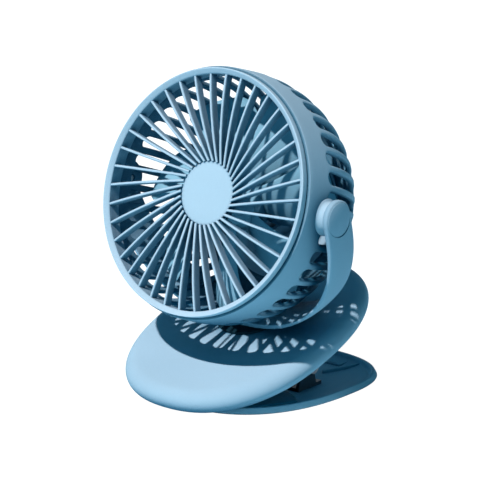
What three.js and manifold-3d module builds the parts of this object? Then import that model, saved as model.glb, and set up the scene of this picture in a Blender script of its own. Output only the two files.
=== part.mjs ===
// Clip fan: a round fan head that tilts in a U-shaped yoke, on a yoke that swivels on a sprung
// two-jaw clip. Millimetres, +Z up, front towards -Y, origin under the middle of the lower jaw.
import * as THREE from "three";
import { mergeVertices } from "three/addons/utils/BufferGeometryUtils.js";
import Module from "manifold-3d";

const wasm = await Module();
wasm.setup();

// ---- Driving dimensions -------------------------------------------------------------------

const gap = 0.3; // between pieces that touch or turn on each other
const deg = Math.PI / 180;

// Clip: two rounded jaws, the upper one leaning forward on the lower one
const lowerJaw = {
  halfWidth: 65, halfLength: 85.5, power: 2.39, // halfLength runs forward from its widest line
  middle: 16, backLength: 56, backPower: 2.71,
  rim: 7, lean: 1.7, shoulder: 3.4, inset: 13, wall: 2,
};
const soleThickness = 0.5;
const upperJaw = { halfWidth: 65.7, halfLength: 84.8, power: 2.32, thickness: 15, edge: 10, wall: 2.2 };
const upperJawSeat = { y: -4.8, z: 29 }; // middle of its underside
const jawTilt = 18 * deg;
const lidThickness = 2.4;
const hinge = { y: 6, z: 18, pinRadius: 2.2, pinLength: 85 };
const bracket = { halfWidth: 9, plate: 2, ear: 2.5, earRadius: 5.5, earInner: 34.5 };
const spring = { radius: 5.2, wire: 0.9, pitch: 2.6, turns: 10, lowerLeg: 30 * deg, upperLeg: 25 * deg };
const frontPad = { halfWidth: 57.5, halfLength: 26, power: 2.5, middle: -38, top: 7.8 };

// Head: drum with a domed, slotted back
const headTilt = 18.8 * deg; // its axis above the horizontal
const openingRadius = 72;
const pivotDepth = 22.55; // pivot axis behind the opening
const bezel = { width: 3.6, lip: 1.9, depth: 2.3, spigot: 6.8 }; // its face leans in by lip
const seam = 0.7; // visible joint between bezel and drum
const drumRadius = openingRadius + 6;
const drumWall = 2.9;
const dome = { start: 0.25, depth: 81, barWall: 3.4, slots: 40, slotPhase: 8.4, barWidth: 4.3 };
const backPlane = -62.45;
const backRim = 51.2;
const backHole = 38.2;
const ribs = {
  count: 38, first: 97.35, offset: 8.6, thickness: 1.7, depth: 6, // heights of their bowed front edge:
  atHub: 18.9, atMiddle: 22.7, atRim: 22.4,
};
const hubRadius = 19.4;
const hubSunk = 1.2; // face of the centre disc behind the ends of the ribs

// Furthest that the head reaches from its pivot axis
const reachAt = (a) => Math.hypot(drumRadius * Math.cos(a * deg), dome.start - dome.depth * Math.sin(a * deg));
const reach = Math.max(
  ...[1.5, 30, 41, 46].map(reachAt),
  Math.hypot(openingRadius + bezel.width, pivotDepth + bezel.lip - 0.6),
  Math.hypot(backRim, backPlane + 1.4),
);

// Yoke: swivels on the upper jaw and carries the head at its two ends
const swivel = { post: 8, wireHole: 5, disc: 22, discThickness: 1.6, offset: 6.7 };
const yoke = {
  inside: drumRadius + 5.4, depth: reach + 0.8, power: 2.4, wall: 3, endWall: 4.8, endRadius: 11.6, waist: 12,
};
const pivotAboveJaw = yoke.depth + yoke.wall + swivel.discThickness + 2 * gap;
const yokeFoot = 14.3; // half width of the strap under the head
const pivotCap = { radius: 10.3, depth: 2.3, crown: 0.6 };
const trunnionRadius = 9.4;
const pivotScrew = { shank: 2.1, head: 4.4, headHeight: 1.5 };

// Drive
const blades = {
  count: 7, tip: openingRadius - 5, plane: -19.05,
  rootChord: 22, tipChord: 42, rootPitch: 42, tipPitch: 24,
};
const impellerHub = { radius: 17.2, front: -9.25, back: -28.05, wall: 2 };
const shaftRadius = 1.5;
const motor = { radius: 13, front: -30.05, back: -56.65 };
const buttonRadius = 7.2;

// Electrics in the upper jaw
const cell = { width: 60, length: 44, spare: 2.4, y: -34 };
const board = { width: 30, length: 23.5, thickness: 1.4, y: upperJaw.halfLength - 28.8 };
const socket = { width: 9.2, length: 8, height: 3.3 };

// ---- Materials ----------------------------------------------------------------------------

const paint = (color, roughness, metalness = 0) =>
  new THREE.MeshStandardMaterial({ color, roughness, metalness });
const shellBlue = paint(0x86b4cf, 0.45);
const steel = paint(0xb8bcc2, 0.3, 1);
const rubber = paint(0x2d5a76, 0.85);
const boardGreen = paint(0x1d6b3c, 0.6);
const brass = paint(0xb89a55, 0.35, 1);
const foil = paint(0x8d9aa6, 0.5);
const milky = paint(0xdfeaf2, 0.35);

// ---- Shape helpers ------------------------------------------------------------------------

// Closed solid of a three.js geometry, with its faces pointing out.
function solid(geometry) {
  const bare = geometry.index ? geometry.toNonIndexed() : geometry.clone();
  for (const name of Object.keys(bare.attributes)) if (name !== "position") bare.deleteAttribute(name);
  const merged = mergeVertices(bare, 1e-4);
  const corners = [...merged.index.array];
  const faces = [];
  for (let i = 0; i < corners.length; i += 3) {
    const [a, b, c] = corners.slice(i, i + 3);
    if (a !== b && b !== c && c !== a) faces.push(a, b, c);
  }
  const build = (order) =>
    new wasm.Manifold(
      new wasm.Mesh({ numProp: 3, vertProperties: merged.attributes.position.array, triVerts: order }),
    );
  const made = build(new Uint32Array(faces));
  return made.volume() > 0 ? made : build(new Uint32Array(faces).reverse());
}

function geometryOf(body) {
  const mesh = body.getMesh();
  const indexed = new THREE.BufferGeometry();
  indexed.setAttribute("position", new THREE.BufferAttribute(mesh.vertProperties, 3));
  indexed.setIndex(new THREE.BufferAttribute(mesh.triVerts, 1));
  const flat = indexed.toNonIndexed();
  flat.computeVertexNormals();
  return flat;
}

const join = (...shapes) => geometryOf(shapes.map(solid).reduce((a, b) => a.add(b)));
const cut = (shape, ...tools) => geometryOf(tools.map(solid).reduce((a, b) => a.subtract(b), solid(shape)));
const common = (a, b) => geometryOf(solid(a).intersect(solid(b)));

// Profile of [radius, height] points turned about Z.
function turned(profile, segments = 28) {
  const points = profile.map(([r, z]) => new THREE.Vector2(r, z));
  if (profile[0][0] > 0) points.push(points[0].clone());
  return new THREE.LatheGeometry(points, segments).rotateX(Math.PI / 2);
}

const rod = (radius, from, to, segments = 16) =>
  turned([[0, from], [radius, from], [radius, to], [0, to]], segments);
const tube = (inner, outer, from, to, segments = 20) =>
  turned([[inner, from], [outer, from], [outer, to], [inner, to]], segments);
const hexNut = (hole, outer, from, to) => cut(rod(outer, from, to, 6), rod(hole, from - 1, to + 1, 24));
const alongX = (shape, side = 1) => shape.rotateY((side * Math.PI) / 2);
const block = (width, length, height, x, y, z) =>
  new THREE.BoxGeometry(width, length, height).translate(x, y, z + height / 2);

// Flat outline in the YZ plane, given thickness along X.
function plateAcrossX(outline, from, to) {
  const shape = new THREE.Shape(outline.map(([y, z]) => new THREE.Vector2(y, z)));
  const made = new THREE.ExtrudeGeometry(shape, { depth: to - from, bevelEnabled: false });
  return made.rotateX(Math.PI / 2).rotateZ(Math.PI / 2).translate(from, 0, 0);
}

// Skin through closed rings of points, with flat ends.
function loft(rings) {
  const count = rings[0].length;
  const points = [];
  const quad = (a, b, c, d) => points.push(a, b, c, a, c, d);
  for (let i = 0; i + 1 < rings.length; i++)
    for (let j = 0; j < count; j++) {
      const k = (j + 1) % count;
      quad(rings[i][j], rings[i][k], rings[i + 1][k], rings[i + 1][j]);
    }
  for (const [ring, flip] of [[rings[0], true], [rings[rings.length - 1], false]])
    for (let j = 1; j + 1 < count; j++)
      points.push(ring[0], flip ? ring[j + 1] : ring[j], flip ? ring[j] : ring[j + 1]);
  return new THREE.BufferGeometry().setFromPoints(points);
}

// Rounded-oval ring: |x/a|^n + |y/b|^n = 1, drawn in by inset. Its back part may differ from its front.
function oval(shape, inset, z, count = 44) {
  const { halfWidth, halfLength, power, middle = 0 } = shape;
  const ring = [];
  for (let i = 0; i < count; i++) {
    const a = (i / count) * 2 * Math.PI;
    const behind = Math.sin(a) > 0;
    const length = behind ? shape.backLength ?? halfLength : halfLength;
    const n = behind ? shape.backPower ?? power : power;
    const x = (halfWidth - inset) * Math.sign(Math.cos(a)) * Math.abs(Math.cos(a)) ** (2 / n);
    const y = (length - inset) * Math.sign(Math.sin(a)) * Math.abs(Math.sin(a)) ** (2 / n);
    ring.push(new THREE.Vector3(x, middle + y, z));
  }
  return ring;
}

// Screw with a flat head at the origin, shank along -Z, head standing on +Z.
const screw = (head, headHeight, shank, length) =>
  turned([[0, -length], [shank, -length], [shank, 0], [head, 0], [head, headHeight], [0, headHeight]], 10);

function piece(name, geometry, material, parent) {
  const mesh = new THREE.Mesh(geometry, material.clone());
  mesh.name = name;
  parent.add(mesh);
  return mesh;
}

// ---- Frames -------------------------------------------------------------------------------

const fan = new THREE.Group();
const clipTop = new THREE.Group(); // upper jaw: origin at the middle of its underside
clipTop.position.set(0, upperJawSeat.y, upperJawSeat.z);
clipTop.rotation.x = jawTilt;
const yokeFrame = new THREE.Group(); // origin on the pivot axis, +Z along the swivel axis
yokeFrame.position.set(0, swivel.offset, upperJaw.thickness + pivotAboveJaw);
const headFrame = new THREE.Group(); // origin on the pivot axis, +Z out of the front
headFrame.position.copy(yokeFrame.position);
headFrame.rotation.x = Math.PI / 2 - headTilt - jawTilt;
clipTop.add(yokeFrame, headFrame);
fan.add(clipTop);

// A point beside the hinge, given in the fan's frame, in the upper jaw's frame.
function inUpperJaw(y, z) {
  const dy = y - upperJawSeat.y;
  const dz = z - upperJawSeat.z;
  const along = dy * Math.cos(jawTilt) + dz * Math.sin(jawTilt);
  const above = dz * Math.cos(jawTilt) - dy * Math.sin(jawTilt);
  return { y: along, z: above };
}
const hingeUp = inUpperJaw(hinge.y, hinge.z);

// ---- Lower jaw ----------------------------------------------------------------------------

const trayFloor = soleThickness + gap + lowerJaw.wall;

// Outside of the tray from its flat underside to its rim, drawn in by inset.
const trayOutside = (inset) => loft([
  oval(lowerJaw, lowerJaw.inset, soleThickness + gap), oval(lowerJaw, inset, lowerJaw.shoulder),
  oval(lowerJaw, lowerJaw.lean + inset, lowerJaw.rim),
]);

// Hollow of the tray, drawn in by clearance.
function trayHollow(clearance) {
  const atRim = lowerJaw.lean + lowerJaw.wall + clearance;
  return loft([
    oval(lowerJaw, lowerJaw.inset + 0.5 + clearance, trayFloor + clearance),
    oval(lowerJaw, atRim + 0.9, lowerJaw.shoulder + 1.2 + clearance),
    oval(lowerJaw, atRim, lowerJaw.rim),
    oval(lowerJaw, atRim, lowerJaw.rim + 3),
  ]);
}

function buildLowerJaw() {
  const rib = { x: 25, front: 37, length: 33, spread: 20 * deg, wall: 1.4, height: 2.6 };
  const pocket = { width: 50, front: 54.5, length: 13.5, wall: 1.4, height: 1.8 };
  const ribsLeftRight = [-1, 1].map((side) =>
    block(rib.wall, rib.length, rib.height, 0, rib.length / 2, trayFloor - 0.5)
      .rotateZ(-side * rib.spread).translate(side * rib.x, rib.front, 0));
  const frame = cut(
    block(pocket.width, pocket.length, pocket.height, 0, pocket.front + pocket.length / 2, trayFloor - 0.5),
    block(pocket.width - 2 * pocket.wall, pocket.length - 2 * pocket.wall, 9, 0,
      pocket.front + pocket.length / 2, trayFloor - 0.5),
  );
  const fittings = common(join(...ribsLeftRight, frame), trayOutside(0.5));
  const holes = lowerScrewPlaces.map(([x, y]) => rod(1.8, 0, trayFloor + 1, 12).translate(x, y, 0));
  piece("lower_jaw", cut(join(cut(trayOutside(0), trayHollow(0)), fittings), ...holes), shellBlue, fan);
}

const lowerScrewPlaces = [[-22, hinge.y], [22, hinge.y]];

function buildLowerFittings() {
  const sole = loft([
    oval(lowerJaw, lowerJaw.inset + 1.5, 0),
    oval(lowerJaw, lowerJaw.inset + 1.5, soleThickness),
  ]);
  piece("sole_pad", sole, rubber, fan);

  // Grip pad that fills the front of the tray
  const pad = loft([
    oval(frontPad, 0, 0), oval(frontPad, 0, frontPad.top - 0.7), oval(frontPad, 0.8, frontPad.top),
  ]);
  piece("lower_grip_pad", common(pad, trayHollow(gap)), rubber, fan);

  const plateZ = trayFloor + gap;
  const earOuter = bracket.earInner + bracket.ear;
  const plateLength = 2 * bracket.halfWidth + 5;
  const plate = block(2 * earOuter, plateLength, bracket.plate, 0, hinge.y + 2.5, plateZ);
  const earShape = [];
  for (let i = 0; i <= 8; i++) {
    const a = Math.PI * (i / 8);
    earShape.push([hinge.y + bracket.earRadius * Math.cos(a), hinge.z + bracket.earRadius * Math.sin(a)]);
  }
  earShape.push([hinge.y - bracket.halfWidth, plateZ + 0.5], [hinge.y + bracket.halfWidth, plateZ + 0.5]);
  const ears = [-1, 1].map((side) =>
    plateAcrossX(earShape, side > 0 ? bracket.earInner : -earOuter, side > 0 ? earOuter : -bracket.earInner));
  const pinHole = alongX(rod(hinge.pinRadius + gap, -60, 60, 20)).translate(0, hinge.y, hinge.z);
  const holes = lowerScrewPlaces.map(([x, y]) => rod(1.8, 0, 20, 12).translate(x, y, 0));
  piece("lower_hinge_bracket", cut(join(plate, ...ears), pinHole, ...holes), steel, fan);
  lowerScrewPlaces.forEach(([x, y], i) => {
    const made = piece(`lower_bracket_screw_${i + 1}`, screw(3, 1.3, 1.5, 3.8), steel, fan);
    made.position.set(x, y, plateZ + bracket.plate + gap);
  });

  const atHinge = (shape) => alongX(shape).translate(0, hinge.y, hinge.z);
  const pinHalf = hinge.pinLength / 2;
  piece("hinge_pin", atHinge(rod(hinge.pinRadius, -pinHalf, pinHalf, 20)), steel, fan);
  const hole = hinge.pinRadius + gap;
  const upperEar = earOuter + 1.5;
  for (const [side, word] of [[-1, "left"], [1, "right"]]) {
    const washer = tube(hole, 4.6, earOuter + gap, upperEar - gap, 20);
    const clip = tube(hole, 4.2, upperEar + bracket.ear + gap, pinHalf, 20);
    const place = (shape) => alongX(shape, side).translate(0, hinge.y, hinge.z);
    piece(`hinge_washer_${word}`, place(washer), steel, fan);
    piece(`pin_clip_${word}`, place(clip), steel, fan);
  }
  piece("spring_sleeve", atHinge(tube(hole, 3.9, -20, 20, 20)), milky, fan);
}

// Torsion spring: its two legs push the jaws' back ends apart.
function buildSpring() {
  const start = Math.PI / 2 + spring.upperLeg + jawTilt;
  const end = -Math.PI / 2 - spring.lowerLeg + spring.turns * 2 * Math.PI;
  const steps = Math.round(((end - start) / (2 * Math.PI)) * 8);
  const length = ((end - start) / (2 * Math.PI)) * spring.pitch;
  const path = [];
  for (let i = 0; i <= steps; i++) {
    const share = i / steps;
    const a = start + (end - start) * share;
    const turn = new THREE.Vector3(0, spring.radius * Math.cos(a), spring.radius * Math.sin(a));
    path.push(turn.setX(length * (0.5 - share)));
  }
  const coil = path.slice();
  const upAngle = spring.upperLeg + jawTilt;
  const upSeat = -hingeUp.z - bracket.plate - 2 * gap - spring.wire;
  const upLength = (upSeat - spring.radius * Math.cos(spring.upperLeg)) / Math.sin(spring.upperLeg);
  const downSeat = hinge.z - trayFloor - 2 * gap - bracket.plate - spring.wire;
  const downLength = (downSeat - spring.radius * Math.cos(spring.lowerLeg)) / Math.sin(spring.lowerLeg);
  const leg = (from, angle, reach) =>
    from.clone().add(new THREE.Vector3(0, Math.cos(angle) * reach, Math.sin(angle) * reach));
  path.unshift(leg(coil[0], upAngle, upLength));
  path.push(leg(coil[coil.length - 1], -spring.lowerLeg, downLength));

  let least = Infinity;
  for (let i = 0; i < coil.length; i++)
    for (let j = i + 5; j < coil.length; j++) least = Math.min(least, coil[i].distanceTo(coil[j]));
  console.log(`spring: least gap between turns ${(least - 2 * spring.wire).toFixed(2)} mm`);

  const rings = path.map((point, i) => {
    const before = path[Math.max(i - 1, 0)];
    const after = path[Math.min(i + 1, path.length - 1)];
    const along = after.clone().sub(before).normalize();
    const across = new THREE.Vector3(1, 0, 0).addScaledVector(along, -along.x).normalize();
    const third = along.clone().cross(across);
    const ring = [];
    for (let k = 0; k < 5; k++) {
      const a = (k / 5) * 2 * Math.PI;
      ring.push(point.clone().addScaledVector(across, spring.wire * Math.cos(a))
        .addScaledVector(third, spring.wire * Math.sin(a)));
    }
    return ring;
  });
  const made = piece("jaw_spring", geometryOf(solid(loft(rings))), steel, fan);
  made.position.set(0, hinge.y, hinge.z);
}

// ---- Upper jaw ----------------------------------------------------------------------------

const jawScrewY = [upperJaw.halfLength - 24.8, upperJaw.halfLength - 32.8];
const jawScrewPlaces = [[-34, -jawScrewY[0]], [34, -jawScrewY[0]], [-40, jawScrewY[1]], [40, jawScrewY[1]]];
const upperScrewPlaces = [[-22, hingeUp.y], [22, hingeUp.y]];

// How far the rounded edge of the upper jaw is drawn in at a height.
function edgeInset(z) {
  const middle = upperJaw.thickness / 2;
  return upperJaw.edge * (1 - Math.sqrt(Math.max(0, 1 - ((z - middle) / middle) ** 2)));
}

function buildUpperJawTop() {
  const top = upperJaw.thickness;
  const parting = lidThickness + gap;
  const heights = [parting, 0.34 * top, top / 2, 0.7 * top, 0.85 * top, 0.96 * top, top];
  const outside = loft(heights.map((z) => oval(upperJaw, edgeInset(z), z)));
  const ceiling = top - upperJaw.wall;
  const hollowInset = (z) => upperJaw.wall + edgeInset(Math.min(z + 1.2, top));
  const hollow = loft([parting - 1, 0.4 * top, 0.67 * top, ceiling].map((z) => oval(upperJaw, hollowInset(z), z)));
  const bosses = jawScrewPlaces.map(([x, y]) => rod(3.2, parting, ceiling + 0.5, 12).translate(x, y, 0));
  const postHole = rod(swivel.post + gap, ceiling - 2, top + 2, 32).translate(0, swivel.offset, 0);
  const screwHoles = jawScrewPlaces.map(([x, y]) => rod(1.6, 0, 9.5, 12).translate(x, y, 0));
  const rearEnd = upperJaw.halfLength;
  const socketHole = block(socket.width + 2 * gap, 14, socket.height + 2 * gap, 0, rearEnd, socketZ - gap);
  const lightHole = rod(1.6, 0, 14, 12).rotateX(-Math.PI / 2).translate(lightX, rearEnd - 8, lightZ);
  const shell = join(cut(outside, hollow), ...bosses);
  piece("upper_jaw_top", cut(shell, postHole, ...screwHoles, socketHole, lightHole), shellBlue, clipTop);
}

const boardZ = lidThickness + gap;
const socketZ = boardZ + board.thickness + gap;
const lightX = 11;
const lightZ = socketZ + socket.height / 2;

function buildUpperJawLid() {
  const heights = [0, 0.3, 0.9, lidThickness];
  const plate = loft(heights.map((z) => oval(upperJaw, edgeInset(z), z)));
  const counterbores = jawScrewPlaces.flatMap(([x, y]) => [
    rod(1.6, -1, lidThickness + 1, 12).translate(x, y, 0),
    rod(2.9, -1, 1.3, 16).translate(x, y, 0),
  ]);
  const bracketHoles = upperScrewPlaces.map(([x, y]) => rod(1.8, -1, lidThickness + 1, 12).translate(x, y, 0));
  piece("upper_jaw_lid", cut(plate, ...counterbores, ...bracketHoles), shellBlue, clipTop);
  jawScrewPlaces.forEach(([x, y], i) => {
    const made = piece(`jaw_screw_${i + 1}`, screw(2.6, 0.9, 1.3, 7), steel, clipTop);
    made.position.set(x, y, 1);
    made.rotation.x = Math.PI;
  });
}

function buildUpperFittings() {
  const reach = -hingeUp.z;
  const inner = bracket.earInner + bracket.ear + 1.5;
  const outer = inner + bracket.ear;
  const plateZ = -gap - bracket.plate;
  const plate = block(2 * outer, 2 * bracket.halfWidth + 5, bracket.plate, 0, hingeUp.y + 2.5, plateZ);
  const foot = plateZ + 0.5;
  const earShape = [[hingeUp.y + bracket.halfWidth, foot], [hingeUp.y - bracket.halfWidth, foot]];
  for (let i = 0; i <= 8; i++) {
    const a = -Math.PI * (1 - i / 8);
    earShape.push([hingeUp.y + bracket.earRadius * Math.cos(a), -reach + bracket.earRadius * Math.sin(a)]);
  }
  const ears = [-1, 1].map((side) =>
    plateAcrossX(earShape, side > 0 ? inner : -outer, side > 0 ? outer : -inner));
  const pinHole = alongX(rod(hinge.pinRadius + gap, -60, 60, 20)).translate(0, hingeUp.y, -reach);
  const holes = upperScrewPlaces.map(([x, y]) => rod(1.8, -10, 5, 12).translate(x, y, 0));
  piece("upper_hinge_bracket", cut(join(plate, ...ears), pinHole, ...holes), steel, clipTop);
  upperScrewPlaces.forEach(([x, y], i) => {
    const made = piece(`upper_bracket_screw_${i + 1}`, screw(3, 1.3, 1.5, 4.3), steel, clipTop);
    made.position.set(x, y, plateZ - gap);
    made.rotation.x = Math.PI;
  });

  const padWidth = 60;
  const padLength = 22;
  const padThickness = 1.2;
  const grip = block(padWidth, padLength, padThickness, 0, -51, -gap - padThickness);
  piece("upper_grip_pad", grip, rubber, clipTop);
}

function buildElectrics() {
  const z = lidThickness + gap;
  const cellHeight = upperJaw.thickness - upperJaw.wall - z - cell.spare;
  piece("battery_cell", block(cell.width, cell.length, cellHeight, 0, cell.y, z), foil, clipTop);
  piece("charge_board", block(board.width, board.length, board.thickness, 0, board.y + board.length / 2, boardZ),
    boardGreen, clipTop);
  const mouthY = upperJaw.halfLength - 0.9;
  const body = block(socket.width, socket.length, socket.height, 0, mouthY - socket.length / 2, socketZ);
  const mouth = block(socket.width - 0.8, socket.length, socket.height - 0.8, 0, mouthY - 1.5, socketZ + 0.4);
  piece("charge_socket", cut(body, mouth), steel, clipTop);
  const light = rod(1.3, 0, 5.6, 12).rotateX(-Math.PI / 2).translate(lightX, mouthY - 5.7, lightZ);
  piece("charge_light", light, milky, clipTop);
}

// ---- Yoke ---------------------------------------------------------------------------------

// One eight-sided section of the strap, from its inner line to its outer line.
function strapSection(inner, outer, half) {
  const soft = Math.min(0.9, half * 0.4);
  const hard = Math.min(0.5, half * 0.3);
  const at = (y, share, move) => {
    const p = inner.clone().lerp(outer, share);
    const out = outer.clone().sub(inner).normalize();
    return new THREE.Vector3(p.x + out.x * move, y, p.z + out.z * move);
  };
  return [
    at(-half + hard, 0, 0), at(half - hard, 0, 0), at(half, 0, hard), at(half, 1, -soft),
    at(half - soft, 1, 0), at(-half + soft, 1, 0), at(-half, 1, -soft), at(-half, 0, hard),
  ];
}

function buildYoke() {
  const right = [];
  for (const a of [84, 66, 48, 32, 16]) {
    const z = yoke.endRadius * Math.sin(a * deg);
    const inner = new THREE.Vector3(yoke.inside, 0, z);
    const outer = new THREE.Vector3(yoke.inside + yoke.endWall, 0, z);
    right.push(strapSection(inner, outer, yoke.endRadius * Math.cos(a * deg)));
  }
  const steps = 13;
  for (let i = 0; i < steps; i++) {
    const t = ((i / steps) * Math.PI) / 2;
    const c = Math.cos(t) ** (2 / yoke.power);
    const s = Math.sin(t) ** (2 / yoke.power);
    const wall = yoke.wall + (yoke.endWall - yoke.wall) * Math.max(0, 1 - s / 0.9);
    const inner = new THREE.Vector3(yoke.inside * c, 0, -yoke.depth * s);
    const outer = new THREE.Vector3((yoke.inside + wall) * c, 0, -(yoke.depth + wall) * s);
    const neck = THREE.MathUtils.lerp(yoke.endRadius, yoke.waist, Math.min(1, s / 0.4));
    const half = THREE.MathUtils.lerp(neck, yokeFoot, Math.max(0, (s - 0.4) / 0.6));
    right.push(strapSection(inner, outer, half));
  }
  const bottom = strapSection(
    new THREE.Vector3(0, 0, -yoke.depth), new THREE.Vector3(0, 0, -yoke.depth - yoke.wall), yokeFoot);
  const left = right.map((ring) => ring.map((p) => new THREE.Vector3(-p.x, p.y, p.z))).reverse();
  const strap = loft([...right, bottom, ...left]);
  const postEnd = -yoke.depth - yoke.wall - 9.2;
  const post = rod(swivel.post, postEnd, -yoke.depth - 0.5, 32);
  const wireHole = rod(swivel.wireHole, postEnd - 2, -yoke.depth + 3, 24);
  const beyond = yoke.inside + yoke.endWall + 10;
  const screwHole = alongX(rod(pivotScrew.shank + 2 * gap, -beyond, beyond, 16));
  const recess = yoke.inside + yoke.endWall - pivotCap.depth;
  const recesses = [-1, 1].map((side) => alongX(rod(pivotCap.radius + gap, recess, beyond, 32), side));
  piece("yoke", cut(join(strap, post), wireHole, screwHole, ...recesses), shellBlue, yokeFrame);

  const face = yoke.inside + yoke.endWall;
  for (const [side, word] of [[-1, "left"], [1, "right"]]) {
    const r = pivotCap.radius;
    const back = recess + gap;
    const cap = turned([
      [0, face - 0.5], [r - 1.6, face - 0.5], [r - 1.6, back], [r, back], [r, face - 0.2],
      [r - 0.8, face + 0.4 * pivotCap.crown], [r * 0.6, face + 0.85 * pivotCap.crown], [0, face + pivotCap.crown],
    ], 32);
    piece(`pivot_cap_${word}`, alongX(cap, side), shellBlue, yokeFrame);
    const washer = tube(pivotScrew.shank + gap, 8.5, yoke.inside - gap - 0.5, yoke.inside - gap, 24);
    piece(`pivot_washer_${word}`, alongX(washer, side), milky, yokeFrame);
  }

  const foot = -yoke.depth - yoke.wall - gap;
  const hole = swivel.post + gap;
  piece("swivel_disc", tube(hole, swivel.disc, foot - swivel.discThickness, foot, 40), rubber, yokeFrame);
  const ceiling = -pivotAboveJaw - upperJaw.wall;
  piece("swivel_washer", tube(hole, 13.5, ceiling - gap - 1, ceiling - gap, 32), steel, yokeFrame);
  const nutTop = ceiling - 2 * gap - 1;
  piece("swivel_nut", hexNut(hole, 12.5, nutTop - 2.6, nutTop), steel, yokeFrame);
}

// ---- Head ---------------------------------------------------------------------------------

const bezelOuter = openingRadius + bezel.width;
const bezelBack = pivotDepth - bezel.depth;
const drumFront = bezelBack - seam;

function buildGrille() {
  const spigotRadius = drumRadius - drumWall - 0.4;
  const front = pivotDepth + bezel.lip;
  const ring = turned([
    [openingRadius, bezelBack - bezel.spigot], [spigotRadius, bezelBack - bezel.spigot], [spigotRadius, bezelBack],
    [bezelOuter, bezelBack], [bezelOuter, front - 0.6], [bezelOuter - 0.5, front],
    [openingRadius + 0.5, pivotDepth + 0.3], [openingRadius, pivotDepth],
  ], 2 * ribs.count);
  const start = Math.sqrt((hubRadius + 0.8) ** 2 - ribs.offset ** 2);
  const end = Math.sqrt((openingRadius + 1.2) ** 2 - ribs.offset ** 2);
  const frontEdge = [0, 1, 2, 3, 4].map((i) => {
    const along = start + ((end - start) * i) / 4;
    const t = Math.max(0, (Math.hypot(along, ribs.offset) - hubRadius) / (openingRadius - hubRadius));
    const ends = ribs.atHub * (1 - t) * (1 - 2 * t) + ribs.atRim * t * (2 * t - 1);
    const height = ends + ribs.atMiddle * 4 * t * (1 - t);
    return new THREE.Vector2(along, height);
  });
  const backEdge = frontEdge.map((p) => new THREE.Vector2(p.x, p.y - ribs.depth));
  const side = new THREE.Shape([...backEdge, ...frontEdge.reverse()]);
  const shapes = [ring, rod(hubRadius + 1.4, ribs.atHub - ribs.depth, ribs.atHub - 3.2, ribs.count)];
  for (let k = 0; k < ribs.count; k++) {
    const rib = new THREE.ExtrudeGeometry(side, { depth: ribs.thickness, bevelEnabled: false });
    rib.rotateX(Math.PI / 2).translate(0, ribs.thickness / 2 - ribs.offset, 0);
    shapes.push(rib.rotateZ((ribs.first + (k * 360) / ribs.count) * deg));
  }
  piece("front_grille", join(...shapes), shellBlue, headFrame);
  const back = ribs.atHub - 3.2 + gap;
  const face = ribs.atHub - hubSunk;
  const cap = turned([
    [0, back], [hubRadius - 1, back], [hubRadius, back + 0.8], [hubRadius, face - 0.5],
    [hubRadius - 0.5, face], [hubRadius / 2, face + 0.1], [0, face + 0.1],
  ], 48);
  piece("grille_centre_cap", cap, shellBlue, headFrame);
}

// Point on the dome's skin at an angle from its widest ring, drawn in by depth.
function onDome(angle, depth) {
  const out = new THREE.Vector2(drumRadius * Math.cos(angle), dome.start - dome.depth * Math.sin(angle));
  const normal = new THREE.Vector2(Math.cos(angle) / drumRadius, -Math.sin(angle) / dome.depth).normalize();
  return out.addScaledVector(normal, -depth);
}

const rearScrewRadius = 40.9;
const rearScrewAngles = [90, 210, 330];

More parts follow.
